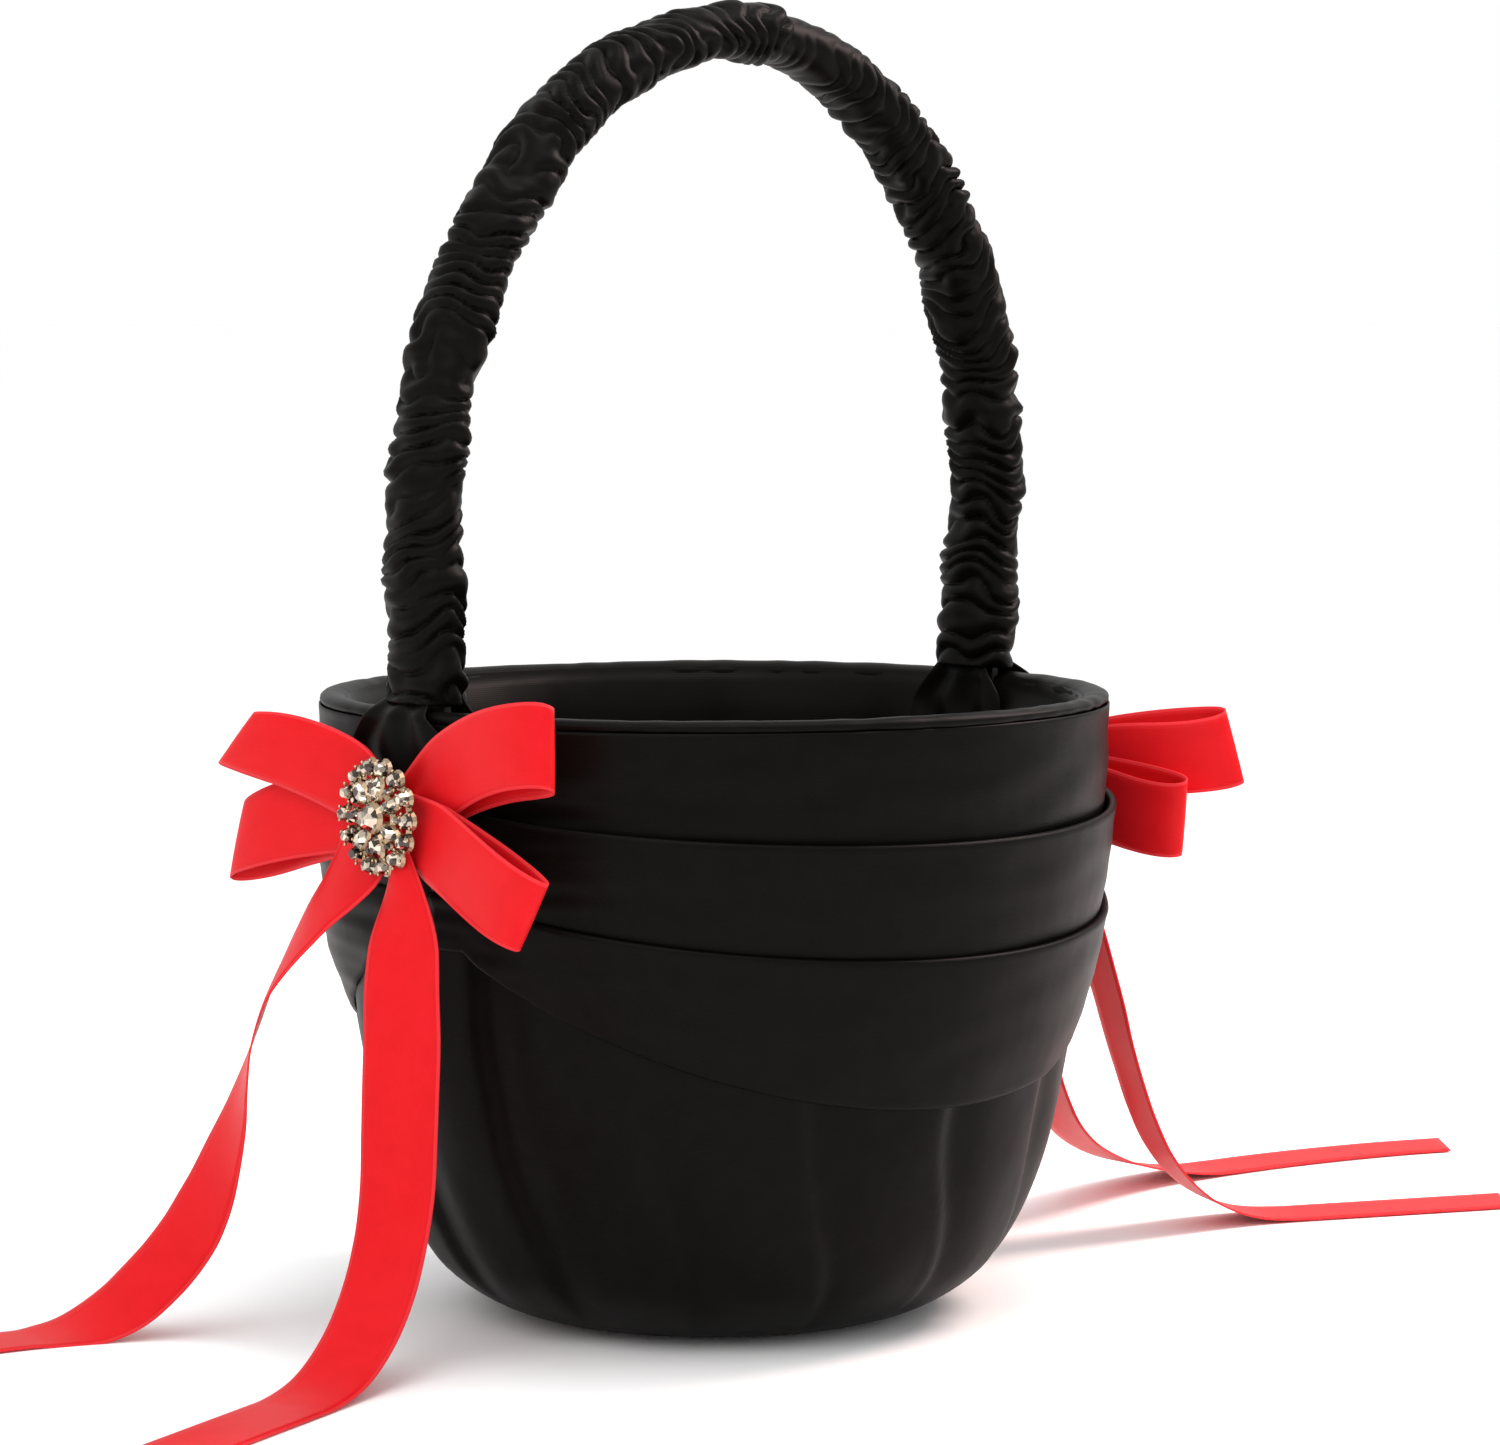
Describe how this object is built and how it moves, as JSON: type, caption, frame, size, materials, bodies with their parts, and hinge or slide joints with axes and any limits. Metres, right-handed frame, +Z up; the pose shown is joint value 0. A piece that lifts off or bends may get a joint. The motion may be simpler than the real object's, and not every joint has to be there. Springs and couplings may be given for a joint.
{
  "type": "flower girl basket",
  "caption": "Round satin-covered basket with a draped pleated swag, a gathered satin arch handle, and ribbon bows with stone brooches and trailing tails.",
  "frame": {"origin": "centre of the underside, on the plane the basket stands on", "axes": "+Z up; the handle lies in the XZ plane with the near bow at -X; the front swag faces -Y"},
  "size_m": [0.3964, 0.1526, 0.2492],
  "materials": {
    "satin_black": "black polyester satin, soft sheen",
    "satin_red": "red satin ribbon with a woven edge",
    "bucket_plastic": "moulded black polypropylene",
    "band_plastic": "extruded black plastic strip",
    "board": "grey-brown pressed board",
    "rivet_aluminium": "plain aluminium",
    "brooch_metal": "cast metal with champagne-silver plating",
    "crystal": "clear cut glass stones with foiled backs"
  },
  "bodies": {
    "root": {"base_disc": "board", "bucket_core": "bucket_plastic", "body_cover": "satin_black", "lining_wall": "satin_black", "floor_board": "board", "floor_pad": "satin_black", "rim_binding": "satin_black", "front_swag_upper": "satin_black", "front_swag_middle": "satin_black", "front_swag_lower": "satin_black", "back_swag_upper": "satin_black", "back_swag_middle": "satin_black", "back_swag_lower": "satin_black", "handle_band": "band_plastic", "handle_sleeve_near": "satin_black", "handle_sleeve_far": "satin_black", "sleeve_hem_near_outside": "satin_black", "sleeve_hem_near_inside": "satin_black", "sleeve_hem_far_outside": "satin_black", "sleeve_hem_far_inside": "satin_black", "handle_rivet_near_1": "rivet_aluminium", "handle_rivet_near_2": "rivet_aluminium", "handle_rivet_far_1": "rivet_aluminium", "handle_rivet_far_2": "rivet_aluminium", "bow_near_strip_rising": "satin_red", "bow_near_strip_falling": "satin_red", "brooch_near_setting": "brooch_metal", "brooch_near_stone_ring": "crystal", "brooch_near_centre_stone": "crystal", "bow_far_strip_rising": "satin_red", "bow_far_strip_falling": "satin_red", "brooch_far_setting": "brooch_metal", "brooch_far_stone_ring": "crystal", "brooch_far_centre_stone": "crystal", "tail_near_front": "satin_red", "tail_near_back": "satin_red", "tail_far_front": "satin_red", "tail_far_back": "satin_red"}
  },
  "joints": []
}
